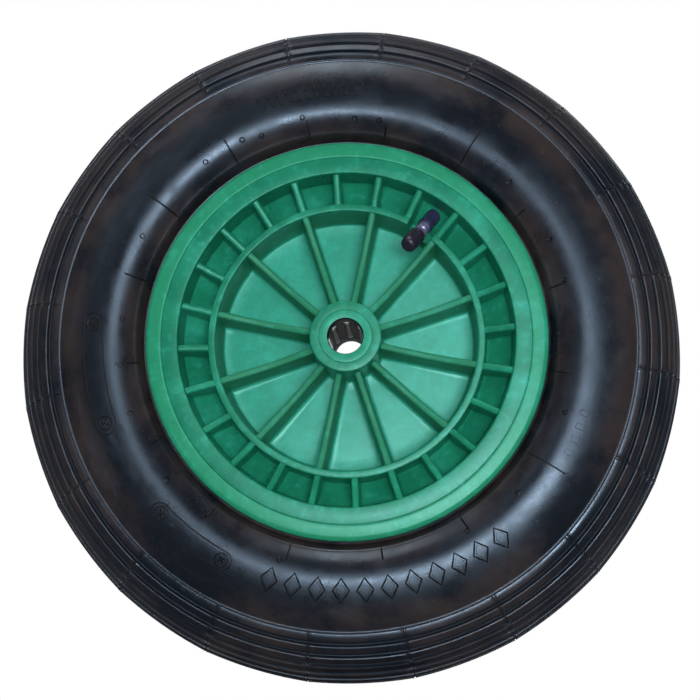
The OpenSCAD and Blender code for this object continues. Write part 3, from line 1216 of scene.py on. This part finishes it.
    def cut_sipes(self, piece: bpy.types.Object) -> None:
        """Sinks the sipes into the ribs and raises a little flash beside them, with Geometry Nodes.

        Args:
            piece: The tyre without sipes.
        """
        mesh = piece.data
        flat = np.empty(3 * len(mesh.vertices))
        mesh.vertices.foreach_get("co", flat)
        place = flat.reshape(-1, 3) / MM
        radius = np.hypot(place[:, 0], place[:, 2])
        degrees = np.degrees(np.arctan2(place[:, 2], place[:, 0]))
        step = 360 / self.sipes
        from_sipe = np.abs((degrees - self.sipe_start + step / 2) % step - step / 2)
        on_top, section = self.tread_share(np.stack([radius + self.flat / 2, -place[:, 1]], 1))
        cut = on_top * (from_sipe < self.cut_reach)
        flash = on_top * ((from_sipe > self.cut_reach) & (from_sipe < self.flash_reach))
        lean = np.cos(section)
        outward = np.stack([lean * place[:, 0] / radius, -np.sin(section), lean * place[:, 2] / radius], 1)
        for name, values in (("cut", cut), ("flash", flash)):
            mesh.attributes.new(name, "FLOAT", "POINT").data.foreach_set("value", values.astype(float))
        mesh.attributes.new("outward", "FLOAT_VECTOR", "POINT").data.foreach_set("vector", outward.ravel())
        recipe = Recipe("tread_sipes", {"Depth": "Float", "Flash": "Float", "Material": "Material"})
        book, given = recipe.start()

        def attribute(label: str, kind: str) -> bpy.types.Node:
            """Reads a named attribute."""
            return book.node("GeometryNodeInputNamedAttribute", {"data_type": kind}, {"Name": label})

        lift = book.wire(attribute("flash", "FLOAT")) * book.wire(given, "Flash")
        lift = lift - book.wire(attribute("cut", "FLOAT")) * book.wire(given, "Depth")
        way = attribute("outward", "FLOAT_VECTOR").outputs[0]
        offset = book.node("ShaderNodeVectorMath", {"operation": "SCALE"}, {0: way, "Scale": lift})
        sockets = {"Geometry": given.outputs["Geometry"], "Offset": offset.outputs[0]}
        moved = book.node("GeometryNodeSetPosition", {}, sockets)
        recipe.end(book, moved.outputs[0], given.outputs["Material"])
        values = {"Depth": self.sipe_depth * MM, "Flash": self.flash * MM, "Material": self.finish.material()}
        recipe.bake(piece, book.tree, values)
        for name in ("cut", "flash", "outward"):
            kept = piece.data.attributes.get(name)
            if kept:
                piece.data.attributes.remove(kept)


# --- Raised marks on the sidewalls ---


class PathTrim:
    """Turns paths into round raised lines."""

    recipe = Recipe("raised_line", {"Radius": "Float", "Sides": "Int", "Material": "Material"})
    _tree: bpy.types.NodeTree | None = None

    @classmethod
    def tree(cls) -> bpy.types.NodeTree:
        """Builds the tree once.

        Returns:
            The tree, which sweeps a small circle along each path.
        """
        if cls._tree:
            return cls._tree
        book, given = cls.recipe.start()
        paths = book.node("GeometryNodeMeshToCurve", {}, {"Mesh": given.outputs["Geometry"]})
        sockets = {"Resolution": given.outputs["Sides"], "Radius": given.outputs["Radius"]}
        circle = book.node("GeometryNodeCurvePrimitiveCircle", {"mode": "RADIUS"}, sockets)
        sockets = {"Curve": paths.outputs[0], "Profile Curve": circle.outputs[0], "Fill Caps": True}
        swept = book.node("GeometryNodeCurveToMesh", {}, sockets)
        cls.recipe.end(book, swept.outputs[0], given.outputs["Material"])
        cls._tree = book.tree
        return cls._tree

    @classmethod
    def sweep(
        cls,
        name: str,
        paths: Sequence[np.ndarray],
        closed: bool,
        radius: float,
        finish: Finish,
        sides: int = 6,
    ) -> bpy.types.Object:
        """Makes a piece of raised lines.

        Args:
            name: The piece's name.
            paths: Points of each path in the row frame, in metres.
            closed: Whether each path joins its start.
            radius: Radius of the line in millimetres.
            finish: Its material.
            sides: Sides of the line.

        Returns:
            The new object.
        """
        points: list[list[float]] = []
        edges: list[tuple[int, int]] = []
        for path in paths:
            start, count = len(points), len(path)
            points += path.tolist()
            edges += [(start + k, start + k + 1) for k in range(count - 1)]
            if closed:
                edges.append((start + count - 1, start))
        mesh = bpy.data.meshes.new(name)
        mesh.from_pydata(points, edges, [])
        piece = link(name, mesh)
        values = {"Radius": radius * MM, "Sides": sides, "Material": finish.material()}
        cls.recipe.bake(piece, cls.tree(), values)
        return piece


@dataclass
class SidewallMarks:
    """Vent lines, ring pips, framed plates and plain raised marks that stand on the tyre's sidewalls.

    vents holds the angle and length of each line, pips the angle of each ring, and plates the first angle,
    last angle, radius and half width of each framed plate.
    """

    tyre: Tyre
    finish: Finish = TYRE_BLACK
    # Finish of the raised lines, rings and frames, coloured darker than the rubber round them.
    dark_marks: Finish = MARK_BLACK
    vents: tuple[tuple[float, float], ...] = (
        (13, 9), (35, 6), (56.5, 22), (79, 6), (100, 9), (121.5, 15), (144, 21), (164, 12),
        (187, 12), (209, 7), (233, 8), (255.5, 10), (279.5, 7), (302, 9), (327, 25), (350, 8),
    )
    vent_r: float = 0.5
    vent_lift: float = 0.08
    pip_r: float = 130.5
    pips: tuple[float, ...] = (
        14, 25, 43, 81, 87.5, 101, 112.5, 117.5, 128.5, 153.5,
        175.5, 187.5, 200, 219, 232.5, 254, 301.5, 317, 340,
    )
    plates: tuple[tuple[float, float, float, float], ...] = (
        (174.6, 203.0, 145.0, 5.8),
        (222.0, 244.0, 144.3, 5.2),
    )
    lozenges: MarkRow = MarkRow("lozenges", 143.6, 8.0, 0.3, 0.45, 11, 253.0, 5.4, TYRE_BLACK, taper=2.4)
    blocks: MarkRow = MarkRow("blocks", 142.0, 4.4, 1.5, 0.35, 4, 331.5, 3.2, TYRE_BLACK)
    dashes: MarkRow = MarkRow("dashes", 149.5, 3.4, 0.8, 0.3, 12, 86.0, 2.2, MARK_BLACK, 5, 0.15)
    low_dashes: MarkRow = MarkRow("dashes_low", 144.0, 3.4, 0.8, 0.3, 11, 87.5, 2.2, MARK_BLACK, 8, 0.15)
    line_lift: float = 0.1
    sunk_lift: float = 0.05
    fine_line_r: float = 0.42
    pip_wander: float = 1.5
    pip_ring_r: float = 1.3
    screw_r: float = 3.9
    screw_inset: float = 0.4
    cross: float = 2.3
    lozenge_frame: Point2 = (6.6, 4.6)
    bevel: float = 0.35
    sunk: float = 0.4

    def on_skin(self, radius: Any, degrees: Any, lift: Any, side: Side) -> np.ndarray:
        """Points on the sidewall in the row frame.

        Args:
            radius: Distance from the axle in millimetres.
            degrees: Angle seen from the valve side.
            lift: Height above the rubber, in millimetres.
            side: The face.

        Returns:
            The points, in metres.
        """
        radius, degrees, lift = np.broadcast_arrays(*(np.asarray(v, float) for v in (radius, degrees, lift)))
        arc = np.where(radius >= self.tyre.bulge_r, self.tyre.upper_arc, self.tyre.lower_arc)
        lean = (radius - self.tyre.bulge_r) / arc
        height = self.tyre.skin(radius) + lift * np.sqrt(1 - lean**2)
        reach = radius + lift * lean
        return to_row(polar(reach, np.radians(degrees), height * side.value))

    def vent_lines(self, side: Side) -> bpy.types.Object:
        """The radial lines that run out from the bead."""
        start = self.tyre.foot_r + 2.0
        paths = [
            self.on_skin(np.linspace(start, start + length, 9), degrees, self.vent_lift, side)
            for degrees, length in self.vents
        ]
        return PathTrim.sweep(f"vent_lines_{side.label}", paths, False, self.vent_r, self.dark_marks, 5)

    def pip_place(self, degrees: float) -> float:
        """Distance of a vent pip from the axle, which wanders a little from pip to pip."""
        return self.pip_r + self.pip_wander * math.sin(3 * degrees)

    def pip_rings(self, side: Side) -> bpy.types.Object:
        """Small rings left by the mould's air vents."""
        rings = []
        for degrees in self.pips:
            turn = np.linspace(0, FULL_TURN, 12, endpoint=False)
            radius = self.pip_place(degrees) + self.pip_ring_r * np.sin(turn)
            spread = np.degrees(self.pip_ring_r * np.cos(turn) / self.pip_r)
            rings.append(self.on_skin(radius, degrees + spread, self.sunk_lift, side))
        return PathTrim.sweep(f"vent_pips_{side.label}", rings, True, self.fine_line_r, self.dark_marks, 5)

    def stubs(self, side: Side) -> bpy.types.Object:
        """The stub in the middle of each ring."""
        lift = np.array([-0.3, 0.2, 0.6])
        paths = [self.on_skin(self.pip_place(degrees), degrees, lift, side) for degrees in self.pips]
        return PathTrim.sweep(f"vent_stubs_{side.label}", paths, False, 0.4, self.finish, 7)

    def ring(self, radius: float, degrees: float, reach: float, side: Side) -> np.ndarray:
        """A small circle on the skin.

        Args:
            radius: Distance of its middle from the axle.
            degrees: Angle of its middle.
            reach: Its own radius.
            side: The face.

        Returns:
            Its points, in metres.
        """
        turn = np.linspace(0, FULL_TURN, 16, endpoint=False)
        spread = np.degrees(reach * np.cos(turn) / radius)
        return self.on_skin(radius + reach * np.sin(turn), degrees + spread, self.line_lift, side)

    def plate_outline(self, first: float, last: float, radius: float, half: float, side: Side) -> np.ndarray:
        """A long frame with round ends that follows the sidewall.

        Args:
            first: Angle of its first end in degrees.
            last: Angle of its last end.
            radius: Distance of its middle line from the axle.
            half: Half its width.
            side: The face.

        Returns:
            Its points, in metres.
        """
        end = math.degrees(half / radius)
        caps = []
        for inset, turns in ((last - end, np.linspace(90, -90, 9)), (first + end, np.linspace(-90, -270, 9))):
            bend = np.radians(turns)
            spread = np.degrees(half * np.cos(bend) / radius)
            caps.append(np.stack([radius + half * np.sin(bend), inset + spread], 1))
        low = np.linspace(caps[0][-1, 1], caps[1][0, 1], 14)[1:-1]
        high = np.linspace(caps[1][-1, 1], caps[0][0, 1], 14)[1:-1]
        lower = np.stack([np.full_like(low, radius - half), low], 1)
        upper = np.stack([np.full_like(high, radius + half), high], 1)
        path = np.concatenate([caps[0], lower, caps[1], upper])
        return self.on_skin(path[:, 0], path[:, 1], self.sunk_lift, side)

    def frames(self, side: Side) -> list[bpy.types.Object]:
        """Raised frames of the two long plates, with a ring and a cross-head imprint at each end."""
        outlines, rings, crosses = [], [], []
        for first, last, radius, half in self.plates:
            outlines.append(self.plate_outline(first, last, radius, half, side))
            end = math.degrees(half / radius) + self.screw_inset
            for degrees in (first + end, last - end):
                rings.append(self.ring(radius, degrees, self.screw_r, side))
                along = np.linspace(-self.cross, self.cross, 5)
                for lean in (math.radians(45), math.radians(135)):
                    spread = np.degrees(along * math.cos(lean) / radius)
                    out = radius + along * math.sin(lean)
                    crosses.append(self.on_skin(out, degrees + spread, self.line_lift, side))
        return [
            PathTrim.sweep(f"plate_frames_{side.label}", outlines, True, self.fine_line_r, self.dark_marks),
            PathTrim.sweep(f"plate_rings_{side.label}", rings, True, 0.45, self.dark_marks),
            PathTrim.sweep(f"plate_crosses_{side.label}", crosses, False, 0.75, self.dark_marks),
        ]

    def lozenge_frames(self, side: Side) -> bpy.types.Object:
        """A raised outline round each lozenge of the long row."""
        row = self.lozenges
        half_length, half_width = self.lozenge_frame
        out = half_length * np.array([-1.0, -0.5, 0.0, 0.5, 1.0, 0.5, 0.0, -0.5])
        spread = np.degrees(half_width * np.array([0.0, 0.5, 1.0, 0.5, 0.0, -0.5, -1.0, -0.5]) / row.radius)
        paths = [
            self.on_skin(row.radius + out, row.first + index * row.step + spread, self.line_lift, side)
            for index in range(row.count)
        ]
        return PathTrim.sweep(f"lozenge_frames_{side.label}", paths, True, 0.55, self.dark_marks)

    def raised(self, row: MarkRow, side: Side) -> bpy.types.Object:
        """A row of low pads on the skin, long away from the axle.

        Args:
            row: The row's sizes and places.
            side: The face.

        Returns:
            The row's piece.
        """
        share = np.concatenate([[-1], np.linspace(-1, 1, 9), [1]])
        reach = row.radius + share * row.length / 2
        reach[0] -= self.bevel
        reach[-1] += self.bevel
        lift = np.full(len(share), row.height)
        lift[[0, -1]] = -self.sunk
        foot = np.full_like(lift, -self.sunk)
        half = row.half_width + row.taper * (1 - np.abs(share))
        offsets = np.stack([-half - self.bevel, -half, half, half + self.bevel], 1)
        lifts = np.stack([foot, lift, lift, foot], 1)
        points = self.on_skin(reach[:, None], np.degrees(offsets / reach[:, None]), lifts, side)
        last = 4 * (len(share) - 1)
        faces = grid_faces(len(share), 4, wrap_rows=False)
        faces += [(3, 2, 1, 0), (last, last + 1, last + 2, last + 3)]
        piece = add_piece(f"{row.name}_{side.label}", points, faces, self.finish)
        AxleRing.repeat(piece, row)
        return piece

    def build(self) -> None:
        """Builds the marks of both sidewalls."""
        for side in Side:
            pieces = [self.vent_lines(side), self.pip_rings(side), self.stubs(side)]
            pieces += self.frames(side) + [self.lozenge_frames(side)]
            for row in (self.lozenges, self.blocks, self.dashes, self.low_dashes):
                pieces.append(self.raised(row, side))
            for piece in pieces:
                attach(piece, "wheel")
                LOG.info("%s: %d faces", piece.name, len(piece.data.polygons))


# --- Bearing ---


@dataclass
class Bearing:
    """End caps pressed into the hub, with the cage and its rollers between them."""

    bore_r: float = 10.3
    cap_r: float = 15.4
    foot_h: float = 30.6
    face_h: float = 43.0
    step_r: Band = (12.3, 12.42)
    step_h: float = 0.08
    roller_count: int = 8
    cap_finish: Finish = CAP_GREEN
    cage_finish: Finish = CAGE_BLACK
    roller_finish: Finish = STEEL

    def end_cap(self, side: Side) -> bpy.types.Object:
        """One end cap with a broken edge and a fine step round its face.

        Args:
            side: The face.

        Returns:
            The cap.
        """
        top = self.face_h
        outline = rounded(
            [
                (self.bore_r, self.foot_h, 0.0),
                (self.bore_r, top - 0.5, 0.2),
                (self.bore_r + 0.4, top - self.step_h, 0.1),
                (self.step_r[0], top - self.step_h, 0.05),
                (self.step_r[1], top, 0.05),
                (self.cap_r - 0.15, top, 0.1),
                (self.cap_r, top - 0.15, 0.05),
                (self.cap_r, self.foot_h, 0.0),
            ],
            steps=2,
        )
        outline = [(r, h * side.value) for r, h in outline]
        piece = turned(f"hub_cap_{side.label}", outline, self.cap_finish, to_row, 96)
        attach(piece, "wheel")
        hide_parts(f"end_cap_{side.name.lower()}")
        return piece

    def build(self) -> None:
        """Builds the caps and dresses the cage and the rollers."""
        for side in Side:
            LOG.info("%s: built", self.end_cap(side).name)
        dress("bearing_cage", self.cage_finish)
        for index in range(1, self.roller_count + 1):
            dress(f"roller_{index}", self.roller_finish)


def dress(node: str, finish: Finish) -> None:
    """Gives a CAD node its finish.

    Args:
        node: The node's name.
        finish: The finish.
    """
    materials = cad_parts[node].data.materials
    materials.clear()
    materials.append(finish.material())
    LOG.info("%s: dressed in %s", node, finish.name)


# --- Valve ---


@dataclass
class Valve:
    """Rubber-covered stem that leans towards the hub, with its thread, screw cap and core."""

    angle: float = 55.85
    foot_r: float = 92.5
    foot_h: float = 18.681
    rise: float = 38.0
    rubber_r: float = 4.75
    stem_r: float = 3.5
    thread_r: float = 0.34
    pitch: float = 0.79
    cap_r: float = 5.0
    cap_foot: float = 22.0
    cap_tip: float = 36.0
    cavity_r: float = 3.92
    knurls: int = 22
    flute: float = 0.34
    rubber: Finish = STEM_RUBBER
    tube: Finish = TUBE_BLACK
    metal: Finish = VALVE_METAL
    plastic: Finish = CAP_BLACK

    def place(self, points: np.ndarray) -> np.ndarray:
        """Takes points along the valve's own axis to the row frame.

        Args:
            points: (right, up, along the axis) in millimetres.

        Returns:
            The points in the row frame, in metres.
        """
        rise, turn = math.radians(self.rise), math.radians(self.angle)
        x, y, s = points[..., 0], points[..., 1], points[..., 2]
        out = self.foot_r + x * math.sin(rise) - s * math.cos(rise)
        height = self.foot_h + x * math.cos(rise) + s * math.sin(rise)
        right = out * math.cos(turn) - y * math.sin(turn)
        up = out * math.sin(turn) + y * math.cos(turn)
        return to_row(np.stack([right, up, height], -1))

    def sleeve(self) -> bpy.types.Object:
        """The rubber cover round the lower stem."""
        wide, slim = self.rubber_r, self.rubber_r - 0.35
        outline = rounded(
            [
                (3.86, -5.0, 0.0),
                (wide, -5.0, 0.3),
                (wide, 1.6, 0.8),
                (slim, 3.4, 1.0),
                (slim, 9.6, 0.3),
                (wide - 0.1, 10.0, 0.3),
                (wide - 0.1, 11.2, 0.4),
                (4.1, 12.6, 0.3),
                (3.86, 12.6, 0.0),
            ]
        )
        piece = turned("stem_sleeve", outline, self.rubber, self.place, 48)
        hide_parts("valve_stem_rubber")
        return piece

    def stem(self) -> bpy.types.Object:
        """The metal stem under the thread, open at its end."""
        outline = rounded(
            [
                (1.6, -5.6, 0.0),
                (3.8, -5.6, 0.2),
                (3.8, 13.6, 0.2),
                (self.stem_r, 14.0, 0.2),
                (self.stem_r, 31.4, 0.2),
                (self.stem_r - 0.4, 31.95, 0.2),
                (2.75, 31.95, 0.1),
                (2.6, 31.5, 0.1),
                (2.6, 14.0, 0.0),
                (1.6, 14.0, 0.0),
            ],
            steps=2,
        )
        piece = turned("stem_metal", outline, self.metal, self.place, 48)
        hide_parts("valve_stem_brass")
        return piece

    def thread(self) -> bpy.types.Object:
        """The thread, one helix swept along the stem."""
        turns, steps, start = 21, 22, 14.5
        count = np.arange(turns * steps + 1)
        angle = count * FULL_TURN / steps
        path = polar(self.stem_r + 0.02, angle, start + count * self.pitch / steps)
        piece = PathTrim.sweep("stem_thread", [self.place(path)], False, self.thread_r, self.metal, 4)
        return piece

    def cap(self) -> bpy.types.Object:
        """The screw cap, with flutes round its skirt and a domed end."""
        outline = rounded(
            [
                (self.cavity_r, self.cap_foot, 0.0),
                (self.cap_r - 0.3, self.cap_foot, 0.2),
                (self.cap_r, self.cap_foot + 0.5, 0.2),
                (self.cap_r, self.cap_foot + 1.6, 0.1),
                (self.cap_r - 0.05, self.cap_foot + 2.0, 0.0),
                (self.cap_r - 0.05, self.cap_tip - 4.4, 0.0),
                (self.cap_r - 0.15, self.cap_tip - 3.6, 0.4),
                (self.cap_r - 0.5, self.cap_tip - 1.1, 1.6),
                (self.cap_r - 1.9, self.cap_tip, 1.2),
                (0.0, self.cap_tip, 0.0),
                (0.0, self.cap_tip - 2.0, 0.0),
                (self.cavity_r, self.cap_tip - 2.0, 0.0),
            ],
            longest=1.6,
        )
        rows = np.array(outline)
        columns = self.knurls * 6
        angle = np.arange(columns) * FULL_TURN / columns
        wave = 0.5 - 0.5 * np.cos(angle * self.knurls)
        across, along = rows[:, 0], rows[:, 1]
        fluted = (across > self.cavity_r + 0.6) & (along > self.cap_foot + 1.9) & (along < self.cap_tip - 4.3)
        reach = rows[:, :1] - np.where(fluted[:, None], self.flute * wave[None, :], 0)
        points = polar(reach, angle, rows[:, 1:])
        piece = add_piece("screw_cap", self.place(points), grid_faces(len(rows), columns), self.plastic)
        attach(piece, "dust_cap")
        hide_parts("valve_cap")
        return piece

    def build(self) -> None:
        """Builds the valve and dresses its core."""
        for piece in (self.sleeve(), self.stem(), self.thread()):
            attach(piece, "wheel")
            LOG.info("%s: %d faces", piece.name, len(piece.data.polygons))
        LOG.info("%s: built", self.cap().name)
        for node in ("valve_core_barrel", "valve_core_pin"):
            dress(node, CORE_BRASS)
        dress("valve_core_spring", STEEL)
        for node in ("valve_core_seal", "valve_cap_washer", "inner_tube"):
            dress(node, self.tube)


# --- Studio ---


@dataclass
class SoftLight:
    """One square area light."""

    name: str
    place: tuple[float, float, float]
    size: float
    power: float
    tint: Colour = WHITE

    def build(self, target: Vector) -> None:
        """Adds the light, turned to a point.

        Args:
            target: The point it faces.
        """
        lamp = bpy.data.lights.new(self.name, "AREA")
        lamp.shape = "SQUARE"
        lamp.size = self.size
        lamp.energy = self.power
        lamp.color = self.tint
        holder = link(self.name, lamp)
        holder.location = self.place
        holder.rotation_euler = (target - holder.location).to_track_quat("-Z", "Y").to_euler()


@dataclass
class Studio:
    """White floor and backdrop, soft lights and the camera."""

    floor_z: float = -0.2005
    floor_half: float = 4.0
    eye: tuple[float, float, float] = (0.030, -0.690, -0.106)
    aim: tuple[float, float, float] = (0.0009, 0.0, -0.0018)
    lens: float = 58.57
    ambient: float = 0.13
    lights: tuple[SoftLight, ...] = (
        SoftLight("key", (0.11, -1.12, -0.31), 0.52, 27.0, (0.86, 0.93, 1.0)),
        SoftLight("fill", (0.20, -1.20, 0.06), 0.50, 4.5, (0.84, 0.93, 1.0)),
        SoftLight("upper_left", (-0.9, -1.5, 0.9), 0.8, 1.5, (0.9, 0.96, 1.0)),
        SoftLight("top", (-0.2, -0.5, 1.8), 0.9, 12.0),
        SoftLight("back", (0.5, 2.0, 0.9), 1.4, 12.0),
    )

    def floor(self) -> None:
        """Adds the floor."""
        half, z = self.floor_half, self.floor_z
        points = [(-half, -half, z), (half, -half, z), (half, half, z), (-half, half, z)]
        lower = [(x, y, z - 0.02) for x, y, _ in points]
        faces = [(0, 1, 2, 3), (7, 6, 5, 4), (0, 4, 5, 1), (1, 5, 6, 2), (2, 6, 7, 3), (3, 7, 4, 0)]
        add_piece("floor", points + lower, faces, FLOOR_WHITE)

    def world(self) -> None:
        """White where the camera sees it, dimmer as a source of light."""
        scene = bpy.context.scene
        world = bpy.data.worlds.new("studio")
        scene.world = world
        world.use_nodes = True
        world.node_tree.nodes.clear()
        book = Book(world.node_tree)
        seen = book.wire(book.node("ShaderNodeLightPath"), "Is Camera Ray")
        strength = seen * (1.0 - self.ambient) + self.ambient
        sky = book.node("ShaderNodeBackground", {}, {"Color": WHITE, "Strength": strength})
        book.node("ShaderNodeOutputWorld", {}, {"Surface": sky.outputs[0]})
        scene.view_settings.view_transform = "Standard"
        scene.view_settings.look = "None"

    def camera(self) -> None:
        """Adds the camera."""
        lens = bpy.data.cameras.new("camera")
        lens.lens = self.lens
        lens.sensor_width = 36.0
        lens.clip_start = 0.01
        holder = link("camera", lens)
        holder.location = self.eye
        view = Vector(self.aim) - Vector(self.eye)
        holder.rotation_euler = view.to_track_quat("-Z", "Y").to_euler()
        bpy.context.scene.camera = holder

    def build(self) -> None:
        """Builds the studio."""
        self.floor()
        self.world()
        self.camera()
        for light in self.lights:
            light.build(Vector((0.0, 0.0, 0.0)))


# --- Assembly ---


def main() -> None:
    """Builds the wheel from the rim outwards, then the studio."""
    logging.basicConfig(level=logging.INFO, format="%(name)s %(message)s")
    Rim().build()
    tyre = Tyre()
    tyre.build()
    SidewallMarks(tyre).build()
    Bearing().build()
    Valve().build()
    Studio().build()


if __name__ == "__main__":
    main()
